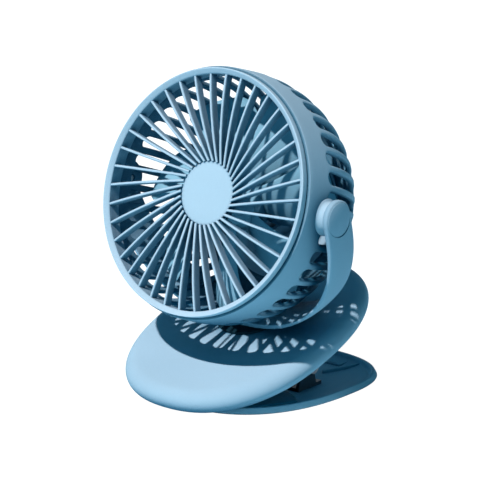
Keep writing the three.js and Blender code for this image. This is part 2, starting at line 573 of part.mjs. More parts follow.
function buildHeadShell() {
  const wallIn = drumRadius - drumWall;
  const band = turned([
    [drumRadius - 0.9, drumFront], [drumRadius - 0.5, drumFront - 0.5], [drumRadius - 0.2, drumFront - 9],
    [drumRadius, dome.start + 0.7], [onDome(1.5 * deg, 0).x, onDome(1.5 * deg, 0).y],
    [wallIn - 0.4, onDome(1.5 * deg, 0).y], [wallIn, drumFront],
  ], 2 * dome.slots);
  const bars = [];
  for (let k = 0; k < dome.slots; k++) {
    const rings = [0.5, 13, 25, 37, 46].map((a) => {
      const out = onDome(a * deg, 0.2);
      const inside = onDome(a * deg, dome.barWall);
      const half = dome.barWidth / 2;
      return [[out, -half], [out, half], [inside, half], [inside, -half]].map(
        ([p, y]) => new THREE.Vector3(p.x, y, p.y));
    });
    bars.push(loft(rings).rotateZ((dome.slotPhase + ((k + 0.5) * 360) / dome.slots) * deg));
  }
  const rim = [41, 46].map((a) => onDome(a * deg, 0));
  const rimIn = [41, 46].map((a) => onDome(a * deg, dome.barWall + 0.4));
  const rear = turned([
    [rim[0].x, rim[0].y], [rim[1].x, rim[1].y], [backRim, backPlane + 1.4], [backRim - 3.2, backPlane],
    [backHole, backPlane],
    [backHole, backPlane + 2.6], [47, backPlane + 2.6], [rimIn[1].x - 0.6, rimIn[1].y], [rimIn[0].x, rimIn[0].y],
  ], dome.slots);
  const padRadius = trunnionRadius + 0.6;
  const pads = [-1, 1].map((side) => alongX(rod(padRadius, wallIn - 0.3, drumRadius + 0.1, 32), side));
  const pivotHoles = alongX(rod(pivotScrew.shank + gap, -drumRadius - 12, drumRadius + 12, 16));
  const screwHoles = rearScrewAngles.flatMap((a) => [
    rod(1.7, backPlane - 2, backPlane + 5, 12).translate(rearScrewRadius, 0, 0).rotateZ(a * deg),
    rod(2.9, backPlane - 2, backPlane + 1.3, 12).translate(rearScrewRadius, 0, 0).rotateZ(a * deg),
  ]);
  piece("head_shell", cut(join(band, rear, ...bars, ...pads), pivotHoles, ...screwHoles), shellBlue, headFrame);

  for (const [side, word] of [[-1, "left"], [1, "right"]]) {
    const from = drumRadius + 0.1 + gap;
    const to = yoke.inside - 2 * gap - 0.5;
    const bush = tube(pivotScrew.shank + gap, trunnionRadius, from, to, 32);
    piece(`trunnion_${word}`, alongX(bush, side), shellBlue, headFrame);
    const seat = yoke.inside + yoke.endWall - pivotCap.depth + gap;
    const made = screw(pivotScrew.head, pivotScrew.headHeight, pivotScrew.shank, seat - wallIn - 0.5);
    piece(`pivot_screw_${word}`, alongX(made.translate(0, 0, seat), side), steel, headFrame);
  }
}

const coverIn = backPlane + 2.6 + gap; // inner face of the shell's back
const motorSeat = motor.radius + gap;
const ringIn = buttonRadius + gap;

function buildRearCover() {
  const flange = backHole + 5;
  const wall = coverIn + 1.8;
  const cover = turned([
    [ringIn + 2.1 + gap, backPlane], [backHole - gap, backPlane], [backHole - gap, coverIn], [flange, coverIn],
    [flange, wall], [motorSeat + 2.7, wall], [motorSeat + 2.7, motor.back + 12], [motorSeat, motor.back + 12],
    [motorSeat, backPlane + 2.2], [ringIn + 2.1 + gap, backPlane + 2.2],
  ], 40);
  const holes = rearScrewAngles.map((a) =>
    rod(1.7, backPlane, backPlane + 9, 12).translate(rearScrewRadius, 0, 0).rotateZ(a * deg));
  piece("rear_cover", cut(cover, ...holes), shellBlue, headFrame);
  rearScrewAngles.forEach((a, i) => {
    const made = screw(2.6, 0.9, 1.4, 3.4).rotateX(Math.PI).translate(rearScrewRadius, 0, backPlane + 1);
    piece(`rear_screw_${i + 1}`, made.rotateZ(a * deg), steel, headFrame);
  });
  piece("indicator_ring", tube(ringIn, ringIn + 2.1, backPlane - 0.3, backPlane + 2.2, 32), milky, headFrame);
  const boardBack = motor.back - gap - 1.3;
  piece("control_board", rod(motor.radius, boardBack, boardBack + 1.2, 32), boardGreen, headFrame);
  piece("button_switch", block(6, 6, 1.7, 0, 0, boardBack - gap - 1.7), foil, headFrame);
  const button = turned([
    [0, backPlane - 1.2], [buttonRadius - 1, backPlane - 1.2], [buttonRadius, backPlane - 0.5],
    [buttonRadius, backPlane + 1.1], [0, backPlane + 1.1],
  ], 32);
  piece("power_button", button, shellBlue, headFrame);
}

function buildDrive() {
  const r = motor.radius;
  const bore = shaftRadius + gap + 0.1;
  const can = turned([
    [bore, motor.back], [r, motor.back], [r, motor.front - 1], [r - 1.5, motor.front], [4.3, motor.front],
    [4.3, motor.front - 3], [bore, motor.front - 3],
  ], 32);
  piece("motor_can", can, steel, headFrame);
  piece("motor_bearing", tube(bore - 0.1, 4, motor.front - 2.7, motor.front + 0.4, 24), brass, headFrame);
  piece("motor_shaft", rod(shaftRadius, motor.back + 1, impellerHub.front + 3.2, 16), steel, headFrame);

  const { radius, front, back, wall } = impellerHub;
  const hub = turned([
    [bore - 0.1, front], [radius * 0.7, front], [radius - 1.4, front - 2], [radius, front - 5.3], [radius, back],
    [radius - wall, back], [radius - wall, front - 6.3], [radius - 3.7, front - 3], [5, front - 3], [5, front - 16],
    [bore - 0.1, front - 16],
  ], 42);
  const shapes = [hub];
  for (let k = 0; k < blades.count; k++) shapes.push(blade().rotateZ((k / blades.count) * 2 * Math.PI));
  piece("impeller", join(...shapes), shellBlue, headFrame);
  piece("impeller_nut", hexNut(bore - 0.1, 4.2, front + gap, front + gap + 2.6), steel, headFrame);
}

// Cambered, twisted blade from inside the hub wall to the tip.
function blade() {
  const thickness = 1.6;
  const rootRadius = impellerHub.radius - 1;
  const across = [-0.5, -0.25, 0, 0.25, 0.5];
  const rings = [0, 0.2, 0.45, 0.7, 1].map((share) => {
    const r = rootRadius + (blades.tip - rootRadius) * share;
    const chord = THREE.MathUtils.lerp(blades.rootChord, blades.tipChord, Math.sqrt(share));
    const pitch = THREE.MathUtils.lerp(blades.rootPitch, blades.tipPitch, share) * deg;
    const sweep = 0.35 * share;
    const point = (c, lift) => {
      const a = sweep + (c * chord * Math.cos(pitch)) / r;
      const z = blades.plane + c * chord * Math.sin(pitch) + 2 * (1 - 4 * c * c) + lift;
      return new THREE.Vector3(r * Math.cos(a), r * Math.sin(a), z);
    };
    const under = across.map((c) => point(c, -thickness / 2));
    const over = across.map((c) => point(c, thickness / 2)).reverse();
    return [...under, ...over];
  });
  return loft(rings);
}

// ---- Assembly -----------------------------------------------------------------------------

buildLowerJaw();
buildLowerFittings();
buildSpring();
buildUpperJawTop();
buildUpperJawLid();
buildUpperFittings();
buildElectrics();
buildYoke();
buildGrille();
buildHeadShell();
buildRearCover();
buildDrive();

export default fan;
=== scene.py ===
"""Looks of a small clip fan: every visible piece is made in its place round the jointed frame."""

import math
from collections import namedtuple

import bmesh
import bpy
import numpy as np
from mathutils import Matrix, Vector


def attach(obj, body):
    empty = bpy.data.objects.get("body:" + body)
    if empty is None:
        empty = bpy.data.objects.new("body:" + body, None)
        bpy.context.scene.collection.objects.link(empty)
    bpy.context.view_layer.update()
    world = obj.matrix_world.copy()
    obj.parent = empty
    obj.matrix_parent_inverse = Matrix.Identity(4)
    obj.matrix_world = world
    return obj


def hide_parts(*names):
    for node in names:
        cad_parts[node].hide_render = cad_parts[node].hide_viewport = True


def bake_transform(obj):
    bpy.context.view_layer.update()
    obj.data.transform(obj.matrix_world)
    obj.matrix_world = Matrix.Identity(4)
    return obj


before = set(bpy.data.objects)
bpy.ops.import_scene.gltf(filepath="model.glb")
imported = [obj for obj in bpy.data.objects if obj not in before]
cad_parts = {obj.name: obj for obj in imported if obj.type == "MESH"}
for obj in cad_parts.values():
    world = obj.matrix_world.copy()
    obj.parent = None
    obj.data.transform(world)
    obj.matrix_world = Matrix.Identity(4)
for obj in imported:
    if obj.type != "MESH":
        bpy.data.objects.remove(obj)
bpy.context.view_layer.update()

# The view of the photograph: a long lens, from the front right and a little above the table.
photo_camera = bpy.data.cameras.new("photo_camera")
photo_camera.lens = 198.75
photo_camera.sensor_width = 36
photo_camera.clip_end = 20
camera = bpy.data.objects.new("photo_camera", photo_camera)
camera.matrix_world = Matrix((
    (0.77505, -0.16611, 0.60967, 0.99107),
    (0.63190, 0.20374, -0.74779, -1.23048),
    (0.0, 0.96483, 0.26287, 0.52394),
    (0.0, 0.0, 0.0, 1.0)))
bpy.context.scene.collection.objects.link(camera)
bpy.context.scene.camera = camera
bpy.context.scene.view_settings.view_transform = "Standard"

# ---- Lower jaw ----
# A shallow tray with flaring sides, one moulding in blue plastic, ribbed inside and framed at the
# back where fingers press. The shop's blue plastic is mixed here for every other moulding too.
MM = 0.001           # sizes are written in millimetres, and Blender's are in metres
TOUCHING = 1e-6      # points nearer than this, in metres, are one point
SHARP_EDGE = 32      # faces that meet at more than these degrees show an edge


class Signal:
    """A shader socket that is added and multiplied like a number."""

    def __init__(self, finish, socket):
        self.finish = finish
        self.socket = socket

    def worked(self, operation, other):
        return self.finish.add("Math", {"operation": operation}, {0: self, 1: other})

    def __add__(self, other):
        return self.worked("ADD", other)

    def __mul__(self, other):
        return self.worked("MULTIPLY", other)

    __radd__ = __add__
    __rmul__ = __mul__


class Finish:
    """One procedural material round a single glossy shader."""

    def __init__(self, name, **constants):
        self.material = bpy.data.materials.new(name)
        self.material.use_nodes = True
        self.nodes = self.material.node_tree.nodes
        self.shader = self.nodes["Principled BSDF"]
        for key, value in constants.items():
            self.shader.inputs[key.replace("_", " ")].default_value = value
        self.place = self.add("TexCoord", output="Object")

    def add(self, kind, settings=None, sockets=None, output=0):
        """Adds a node, sets it, then fills or links its sockets, and gives back one output."""
        node = self.nodes.new("ShaderNode" + kind)
        for key, value in (settings or {}).items():
            setattr(node, key, value)
        for key, value in (sockets or {}).items():
            if isinstance(value, Signal):
                self.material.node_tree.links.new(value.socket, node.inputs[key])
            else:
                node.inputs[key].default_value = value
        return Signal(self, node.outputs[output])

    def noise(self, scale, detail=2, roughness=0.5):
        return self.add("TexNoise", {}, {"Vector": self.place, "Scale": scale, "Detail": detail,
                                         "Roughness": roughness})

    def between(self, share, a, b):
        """Colour on the way from a to b."""
        factor, color_a, color_b, color_out = 0, 6, 7, 2
        return self.add("Mix", {"data_type": "RGBA"}, {factor: share, color_a: a, color_b: b},
                        color_out)

    def stretch(self, signal, low, high, to_low=0.0, to_high=1.0):
        """The signal's stretch from low to high, laid out from to_low to to_high."""
        return self.add("MapRange", {}, {0: signal, 1: low, 2: high, 3: to_low, 4: to_high})

    def bump(self, height, strength, distance):
        return self.add("Bump", {}, {"Strength": strength, "Distance": distance, "Height": height})

    def give(self, **signals):
        """Links signals to the shader and gives back the finished material."""
        for key, signal in signals.items():
            self.material.node_tree.links.new(signal.socket,
                                              self.shader.inputs[key.replace("_", " ")])
        return self.material


def moulded_plastic(name, lit, painted_shade_and_fleck_color=(0.008, 0.12, 0.22, 1), roughness=0.56, grain=0.25,
                    painted_shade_reach=0.02, painted_shade_share=0.25):
    """Spark-textured moulding: a little cloudy, with painted shade that deepens its colour in
    hollows, glossier where rubbed.

    lit is its colour in the open, and painted_shade_and_fleck_color the painted shade in a hollow,
    which also tints a few fine flecks. Walls nearer than painted_shade_reach paint shade, which is
    darkest where no more than painted_shade_share of the surroundings is open.
    """
    finish = Finish(name, Specular_IOR_Level=0.02)
    cloud = finish.noise(14, 3)
    fleck = finish.noise(900)
    # Painted shade: the colour darkens where walls are near, as if shade fell there
    hollow = finish.add("AmbientOcclusion", {"samples": 6}, {"Distance": painted_shade_reach}, "AO")
    openness = finish.stretch(hollow, painted_shade_share, 0.95)
    lighter = tuple(c * 1.05 + 0.004 for c in lit[:3]) + (1,)
    mass = finish.between(finish.stretch(cloud, 0.35, 0.65), lit, lighter)
    shade = finish.between(openness, painted_shade_and_fleck_color, mass)
    tone = finish.between(finish.stretch(fleck, 0.25, 0.75, 0, 0.04), shade, painted_shade_and_fleck_color)
    rubbed = finish.stretch(finish.noise(45, 4, 0.6), 0.3, 0.75, roughness + 0.05, roughness - 0.05)
    skin = finish.noise(2600) + finish.noise(380) * 0.6
    return finish.give(Base_Color=tone, Roughness=rubbed, Normal=finish.bump(skin, grain, 0.00012))


# Its painted shade darkens the colour near walls, such as on the jaw top under the head
blue = moulded_plastic("blue_plastic", (0.24, 0.48, 0.62, 1))


def rounded(points, radii, steps=5):
    """Outline with each inner corner eased by an arc; radii is one number or one for each point."""
    points = [np.array(p, float) for p in points]
    if np.isscalar(radii):
        radii = [radii] * len(points)
    out = [points[0]]
    for before, corner, after, radius in zip(points, points[1:], points[2:], radii[1:]):
        a, b = before - corner, after - corner
        la, lb = np.linalg.norm(a), np.linalg.norm(b)
        if radius <= 0 or la < 1e-9 or lb < 1e-9:
            out.append(corner)
            continue
        half = math.acos(np.clip(a @ b / la / lb, -1, 1)) / 2
        reach = min(radius / max(math.tan(half), 1e-6), 0.49 * la, 0.49 * lb)
        start, end = corner + a / la * reach, corner + b / lb * reach
        for i in range(steps + 1):
            t = i / steps
            out.append((1 - t) ** 2 * start + 2 * t * (1 - t) * corner + t * t * end)
    out.append(points[-1])
    return out


def skin_rings(rings, closed=True, capped=False):
    """Vertices and faces through rings of points; caps close both ends with fans to the middle."""
    count = len(rings[0])
    verts = [tuple(p) for ring in rings for p in ring]
    faces = []
    for i in range(len(rings) - 1):
        for j in range(count if closed else count - 1):
            k = (j + 1) % count
            faces.append((i * count + j, i * count + k, (i + 1) * count + k, (i + 1) * count + j))
    for row in ((0, len(rings) - 1) if capped else ()):
        middle = len(verts)
        verts.append(tuple(np.mean([np.array(p) for p in rings[row]], axis=0)))
        for j in range(count):
            pair = (row * count + (j + 1) % count, row * count + j)
            faces.append((middle,) + (pair if row == 0 else pair[::-1]))
    return verts, faces


def aimed(shape, matrix):
    """A shape of vertices and faces, moved and turned to its place."""
    return [tuple(matrix @ Vector(v)) for v in shape[0]], shape[1]


def welded(name, shapes, scale, weld):
    """One mesh of several shapes: points that touch are joined, and faces look outwards."""
    bm = bmesh.new()
    for verts, faces in shapes:
        made = [bm.verts.new(Vector(v) * scale) for v in verts]
        for face in faces:
            bm.faces.new([made[i] for i in face])
    bmesh.ops.remove_doubles(bm, verts=bm.verts, dist=weld)
    bmesh.ops.recalc_face_normals(bm, faces=bm.faces)
    mesh = bpy.data.meshes.new(name)
    bm.to_mesh(mesh)
    bm.free()
    return mesh


def finished_piece(name, shapes, material, body, *stands_for, sharp=SHARP_EDGE, weld=TOUCHING):
    """Joins millimetre shapes into one piece at its place, smooth except at its edges."""
    mesh = welded(name, shapes, MM, weld)
    mesh.shade_smooth()
    mesh.set_sharp_from_angle(angle=math.radians(sharp))
    mesh.materials.append(material)
    made = bpy.data.objects.new(name, mesh)
    bpy.context.scene.collection.objects.link(made)
    if body:
        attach(made, body)
    if stands_for:
        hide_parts(*stands_for)
    return made


# Half width of a rounded oval, its length and power forwards, the same backwards, its widest line
Oval = namedtuple("Oval", "half_width ahead power_ahead behind power_behind middle")


def oval_ring(oval, inset, z, count=224):
    """Ring at height z that lies inset from the oval's rim."""
    least = 0.4
    ring = []
    for i in range(count):
        t = (i + 0.5) / count * 2 * math.pi
        c, s = math.cos(t), math.sin(t)
        if s > 0:
            length, power = oval.behind, oval.power_behind
        else:
            length, power = oval.ahead, oval.power_ahead
        x = max(oval.half_width - inset, least) * math.copysign(abs(c) ** (2 / power), c)
        y = max(length - inset, least) * math.copysign(abs(s) ** (2 / power), s)
        ring.append((x, oval.middle + y, z))
    return ring


def oval_moulding(oval, outline):
    """Solid of an oval outline: its points are (how far in from the rim, height)."""
    return skin_rings([oval_ring(oval, inset, z) for inset, z in outline], capped=True)


def slab(x0, x1, y0, y1, z0, z1, radius):
    """Block with softened upright edges and top edge."""
    soft, half_soft = radius * 0.6, radius * 0.18
    corner_steps = 4
    rings = []
    for inset, z in ((0, z0), (0, z1 - soft), (half_soft, z1 - half_soft), (soft, z1)):
        ring = []
        for cx, cy, a0 in ((x1, y1, 0), (x0, y1, 90), (x0, y0, 180), (x1, y0, 270)):
            sx, sy = (1 if cx == x1 else -1), (1 if cy == y1 else -1)
            r = max(radius - inset, 0.05)
            for i in range(corner_steps + 1):
                a = math.radians(a0 + 90 / corner_steps * i)
                ring.append((cx - sx * radius + r * math.cos(a),
                             cy - sy * radius + r * math.sin(a), z))
        rings.append(ring)
    return skin_rings(rings, capped=True)


LOWER = Oval(65, 85.5, 2.39, 56, 2.71, 16)
TRAY_FLOOR = 2.8
tray_line = rounded(
    [(64.5, 0.85), (14.5, 0.85), (12.5, 1.0), (1.2, 2.9), (0, 3.9), (1.62, 7.0), (3.5, 7.0),
     (3.9, 6.2), (4.9, 4.2), (15, TRAY_FLOOR), (64.5, TRAY_FLOOR)],
    [0, 2, 3, 1.2, 1.4, 0.45, 0.5, 0.8, 2.2, 6, 0])
rib_foot, rib_top, rib_edge = 2.5, 4.85, 0.45
tray_ribs = [aimed(slab(-0.7, 0.7, 0, 30.5, rib_foot, rib_top, rib_edge),
                   Matrix.Translation((side * 25, 37, 0))
                   @ Matrix.Rotation(-side * math.radians(20), 4, "Z")) for side in (-1, 1)]
frame_top, step_top = 4.05, 3.5
press_frame = [slab(x0, x1, y0, y1, rib_foot, frame_top, rib_edge) for x0, x1, y0, y1 in
               ((-25, 25, 54.6, 55.9), (-25, -23.7, 55, 66.5), (23.7, 25, 55, 66.5))]
press_frame.append(slab(-20, 20, 57.6, 58.6, rib_foot, step_top, 0.4))
# The tray's blue is lighter than the other mouldings': painted light for its floor and rim in
# shade, with painted shade of short reach in its hollows
tray_blue_painted_light = moulded_plastic("tray_plastic", (0.33, 0.61, 0.76, 1), painted_shade_reach=0.006)
finished_piece("tray", [oval_moulding(LOWER, tray_line), *tray_ribs, *press_frame], tray_blue_painted_light,
               "clip_base", "lower_jaw")

# ---- Rubber pads ----
# Soft dark rubber: a broad pad in the front of the tray, a flat sole under it and a flat grip on
# the upper jaw. All three are glued in and dull, with a fine dry surface.
pad_finish = Finish("pad_rubber", Specular_IOR_Level=0.1)
dust = pad_finish.stretch(pad_finish.noise(60, 4, 0.6), 0.35, 0.7)
rubber = pad_finish.give(
    Base_Color=pad_finish.between(dust, (0.010, 0.16, 0.25, 1), (0.016, 0.19, 0.29, 1)),
    Roughness=pad_finish.stretch(pad_finish.noise(700), 0.3, 0.7, 0.62, 0.8),
    Normal=pad_finish.bump(pad_finish.noise(1800, 3), 0.35, 0.00015))

# The upper jaw's own frame: the middle of its underside, leaning forwards
UPPER_TILT = math.radians(18)
UPPER = Matrix.Translation((0, -4.8, 29)) @ Matrix.Rotation(UPPER_TILT, 4, "X")
PAD = Oval(57.5, 26, 2.5, 26, 2.5, -38)


def trimmed(point, wall):
    """The point, or where a line to it from inside the tray comes within wall of the tray's rim."""
    half_width, ahead, power = LOWER.half_width - wall, LOWER.ahead - wall, LOWER.power_ahead
    x, y, z = point
    y -= LOWER.middle
    middle = (PAD.middle - LOWER.middle) / 2

    def inside(x, y):
        return abs(x / half_width) ** power + abs(y / ahead) ** power < 1

    if not inside(x, y):
        low, high = 0.0, 1.0
        for _ in range(24):
            share = (low + high) / 2
            if inside(x * share, middle + (y - middle) * share):
                low = share
            else:
                high = share
        x, y = x * low, middle + (y - middle) * low
    return x, y + LOWER.middle, z


# Points of the front pad: how far in from its own oval, height, and how far in from the tray's rim
pad_line = [(0.4, 3.4, 9), (0, 4.6, 5.4), (0, 7.0, 4.1), (0.35, 7.45, 4.5), (1.0, 7.75, 5.1),
            (3, 7.8, 7), (12, 7.8, 16), (22, 7.8, 26)]
pad_rings = [[trimmed(point, wall) for point in oval_ring(PAD, inset, z, 160)]
             for inset, z, wall in pad_line]
finished_piece("tray_grip", [skin_rings(pad_rings, capped=True)], rubber,
               "clip_base", "lower_grip_pad")
sole_line = [(64.5, 0), (15, 0), (14.6, 0.25), (14.6, 0.5), (64.5, 0.5)]
finished_piece("sole", [oval_moulding(LOWER, sole_line)], rubber, "clip_base", "sole_pad")
upside_down = UPPER @ Matrix.Diagonal((1, 1, -1, 1))
finished_piece("jaw_grip", [aimed(slab(-30, 30, -62, -40, 0.3, 1.5, 1.6), upside_down)], rubber,
               "upper_jaw", "upper_grip_pad")

# ---- Steel fittings ----
# Pin, screws, washers, nuts and the motor's can are bright steel, brushed by the rolling mill and a
# little duller where hands and dust reach. The bent brackets are blacked, the bearing is bronze.


def brushed_metal(name, color, dull, roughness):
    """Bare metal with long streaks from rolling, and smears that are duller."""
    finish = Finish(name, Metallic=1.0)
    grained = finish.add("Mapping", {}, {"Vector": finish.place, "Scale": (60, 2400, 2400)})
    streak = finish.add("TexNoise", {}, {"Vector": grained, "Scale": 1.0, "Detail": 3})
    smear = finish.stretch(finish.noise(90, 4, 0.6), 0.4, 0.75)
    tone = finish.between(smear, color, dull)
    brushed = finish.stretch(streak, 0.3, 0.7, roughness - 0.06, roughness + 0.1)
    return finish.give(Base_Color=tone, Roughness=brushed + smear * 0.08,
                       Normal=finish.bump(streak, 0.2, 0.00008))


steel = brushed_metal("bright_steel", (0.60, 0.62, 0.64, 1), (0.34, 0.37, 0.40, 1), 0.3)
dark_steel = brushed_metal("blacked_steel", (0.012, 0.045, 0.075, 1), (0.008, 0.03, 0.05, 1), 0.55)
bronze = brushed_metal("bearing_bronze", (0.55, 0.38, 0.17, 1), (0.30, 0.20, 0.10, 1), 0.38)


def carry_over(material, *names):
    """Gives the frame's own pieces a finish, as their shapes are right already."""
    for name in names:
        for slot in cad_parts[name].material_slots:
            slot.material = material


carry_over(steel, "hinge_pin", "hinge_washer_left", "hinge_washer_right", "pin_clip_left",
           "pin_clip_right", "lower_bracket_screw_1", "lower_bracket_screw_2",
           "upper_bracket_screw_1", "upper_bracket_screw_2", "jaw_screw_1", "jaw_screw_2",
           "jaw_screw_3", "jaw_screw_4", "rear_screw_1", "rear_screw_2", "rear_screw_3",
           "swivel_washer", "swivel_nut", "pivot_screw_left", "pivot_screw_right",
           "impeller_nut", "motor_shaft", "motor_can", "charge_socket")
carry_over(dark_steel, "lower_hinge_bracket", "upper_hinge_bracket")
carry_over(bronze, "motor_bearing")

# ---- Jaw spring ----
# Ten turns of round spring wire on a sleeve round the hinge pin. Its two legs press the back ends
# of the jaws apart, which is what keeps the front shut.
HINGE = (0, 6, 18)
BRACKET_PLATE, GAP = 2, 0.3
coil_radius, wire, pitch, turns = 5.2, 0.9, 2.6, 10
coil_steps, wire_sides = 320, 10
upper_leg, lower_leg = math.radians(25), math.radians(30)
first = math.pi / 2 + upper_leg + UPPER_TILT
last = -math.pi / 2 - lower_leg + turns * 2 * math.pi
coil_length = (last - first) / (2 * math.pi) * pitch
coil = []
for i in range(coil_steps + 1):
    share = i / coil_steps
    a = first + (last - first) * share
    coil.append(np.array((coil_length * (0.5 - share),
                          coil_radius * math.cos(a), coil_radius * math.sin(a))))
hinge_in_jaw = UPPER.inverted() @ Vector(HINGE)
up_seat = -hinge_in_jaw.z - BRACKET_PLATE - 2 * GAP - wire
up_reach = (up_seat - coil_radius * math.cos(upper_leg)) / math.sin(upper_leg)
down_seat = HINGE[2] - TRAY_FLOOR - 2 * GAP - BRACKET_PLATE - wire
down_reach = (down_seat - coil_radius * math.cos(lower_leg)) / math.sin(lower_leg)
for end, angle, reach in ((0, upper_leg + UPPER_TILT, up_reach), (-1, -lower_leg, down_reach)):
    leg = [coil[end] + np.array((0, math.cos(angle), math.sin(angle))) * reach * t
           for t in (0.33, 0.66, 1.0)]
    coil = leg[::-1] + coil if end == 0 else coil + leg
rings = []
for i, point in enumerate(coil):
    along = coil[min(i + 1, len(coil) - 1)] - coil[max(i - 1, 0)]
    along /= np.linalg.norm(along)
    sideways = np.array((1.0, 0, 0)) - along * along[0]
    sideways /= np.linalg.norm(sideways)
    third = np.cross(along, sideways)
    rings.append([tuple(point + wire * (sideways * math.cos(b) + third * math.sin(b)) + HINGE)
                  for b in np.arange(wire_sides) / wire_sides * 2 * math.pi])
spring = finished_piece("wound_spring", [skin_rings(rings, capped=True)], steel, None)
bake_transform(spring)
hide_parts("jaw_spring")

# ---- Milky plastics, boards and cell ----
# Small inner pieces: nylon sleeve and washers, light pipes, lacquered circuit boards and the
# foil-wrapped cell. They show only through gaps and when the fan is taken apart.
nylon_finish = Finish("milky_nylon", Subsurface_Weight=0.1)
milk = nylon_finish.stretch(nylon_finish.noise(80, 3), 0.3, 0.7)
nylon = nylon_finish.give(
    Base_Color=nylon_finish.between(milk, (0.74, 0.80, 0.82, 1), (0.66, 0.74, 0.78, 1)),
    Roughness=nylon_finish.stretch(nylon_finish.noise(300), 0.3, 0.7, 0.34, 0.46))
carry_over(nylon, "spring_sleeve", "pivot_washer_left", "pivot_washer_right", "charge_light")

board_finish = Finish("board_lacquer", Coat_Weight=0.6)
tracks = board_finish.add("TexVoronoi", {"distance": "MANHATTAN"},
                          {"Vector": board_finish.place, "Scale": 260})
copper = board_finish.stretch(tracks, 0.25, 0.3)
lacquer = board_finish.give(
    Base_Color=board_finish.between(copper, (0.02, 0.20, 0.09, 1), (0.01, 0.12, 0.05, 1)),
    Roughness=board_finish.stretch(board_finish.noise(200), 0.3, 0.7, 0.3, 0.45))
carry_over(lacquer, "charge_board", "control_board")

foil_finish = Finish("cell_foil", Metallic=0.7)
creases = foil_finish.noise(140, 5, 0.7)
ridges = foil_finish.stretch(creases, 0.3, 0.7)
foil = foil_finish.give(
    Base_Color=foil_finish.between(ridges, (0.30, 0.34, 0.37, 1), (0.50, 0.53, 0.55, 1)),
    Roughness=foil_finish.stretch(creases, 0.3, 0.7, 0.35, 0.55),
    Normal=foil_finish.bump(creases, 0.4, 0.0004))
carry_over(foil, "battery_cell", "button_switch")

# ---- Upper jaw ----
# A smooth rounded slab in two mouldings: the top shell and a flat lid screwed on from below. Both
# lean forward on the tray, and a fine parting line runs round them.
SLAB = Oval(65.7, 84.6, 2.32, 84.6, 2.32, 0)
THICK, EDGE, PARTING = 15, 10, 2.7
INNERMOST = 65.2     # inset at which a ring is closed to the middle line
SCREW_SEAT = 2.9


def jaw_edge(z):
    """How far in from the rim the rounded edge lies at a height."""
    middle = THICK / 2
    return EDGE * (1 - math.sqrt(max(0, 1 - ((z - middle) / middle) ** 2)))


edge_steps = 26
outer_edge = []
for i in range(edge_steps + 1):
    z = PARTING + (THICK - PARTING) * (0.5 - 0.5 * math.cos(math.pi * i / edge_steps))
    outer_edge.append((jaw_edge(z) + (0.25 if i == 0 else 0), z))
flat_top = [(inset, THICK) for inset in (14, 20, 28, 40, 52, INNERMOST)]
# The shell is open below: its inner wall runs from the ceiling down to the parting line
inner_wall = [(INNERMOST, 12.8), (20, 12.8), (13.5, 12.4), (9, 10.5), (5.2, 7.5), (4.2, 5.0),
              (4.4, PARTING)]
shell = oval_moulding(SLAB, inner_wall + outer_edge + flat_top)
top_shell = finished_piece("jaw_top", [aimed(shell, UPPER)], blue, "upper_jaw", "upper_jaw_top")


def spun(profile, steps=64, closed=True):
    """Turned solid of (radius, height) points round Z; an open profile starts and ends there."""
    rings = []
    for i in range(steps):
        a = i / steps * 2 * math.pi
        rings.append([(r * math.cos(a), r * math.sin(a), z) for r, z in profile])
    count = len(profile)
    verts = [p for ring in rings for p in ring]
    faces = []
    for i in range(steps):
        k = (i + 1) % steps
        for j in range(count if closed else count - 1):
            m = (j + 1) % count
            faces.append((i * count + j, k * count + j, k * count + m, i * count + m))
    return verts, faces


def drill(radius, low, high, steps=32):
    """Pin along Z that cuts a round hole."""
    return spun([(0, low), (radius, low), (radius, high), (0, high)], steps)


def as_plain_mesh(made):
    """A new mesh of the piece as its modifiers leave it."""
    graph = bpy.context.evaluated_depsgraph_get()
    return bpy.data.meshes.new_from_object(made.evaluated_get(graph), depsgraph=graph)


def cut_away(piece, *cutters, overlapping=False):
    """Cuts millimetre shapes out of a finished piece, which may hold overlapping shapes itself."""
    for shape in cutters:
        mesh = welded("cutter", [shape], MM, TOUCHING)
        cutter = bpy.data.objects.new("cutter", mesh)
        bpy.context.scene.collection.objects.link(cutter)
        modifier = piece.modifiers.new("cut", "BOOLEAN")
        modifier.operation = "DIFFERENCE"
        modifier.solver = "EXACT"
        modifier.use_self = overlapping
        modifier.object = cutter
        before, piece.data = piece.data, as_plain_mesh(piece)
        piece.modifiers.remove(modifier)
        bpy.data.objects.remove(cutter)
        bpy.data.meshes.remove(mesh)
        bpy.data.meshes.remove(before)
    piece.data.shade_smooth()
    piece.data.set_sharp_from_angle(angle=math.radians(SHARP_EDGE))


POST_HOLE = 8.3
post_hole = aimed(drill(POST_HOLE, 11, 17, 48), UPPER @ Matrix.Translation((0, 6.7, 0)))
plug_hole = aimed(slab(-4.9, 4.9, 74, 92, 4.1, 8.0, 0.8), UPPER)
light_hole = aimed(drill(1.6, 0, 14, 24), UPPER @ Matrix.Translation((11, 76.8, 6.05))
                   @ Matrix.Rotation(-math.pi / 2, 4, "X"))
cut_away(top_shell, post_hole, plug_hole, light_hole)

lid_edge = [(jaw_edge(z), z) for z in (0.0, 0.1, 0.3, 0.6, 1.0, 1.5, 2.0)]
lip = lid_edge[-1][0]
lid_line = ([(INNERMOST, 0), (40, 0), (20, 0), (12, 0)] + lid_edge
            + [(lip + 0.1, 2.3), (lip + 0.6, 2.4), (INNERMOST, 2.4)])
jaw_lid = finished_piece("jaw_lid", [aimed(oval_moulding(SLAB, lid_line), UPPER)], blue,
                         "upper_jaw", "upper_jaw_lid")
cut_away(jaw_lid, *(aimed(drill(SCREW_SEAT, -2, 1.3), UPPER @ Matrix.Translation((x, y, 0)))
                    for x, y in ((34, -60), (-34, -60), (40, 52), (-40, 52))))

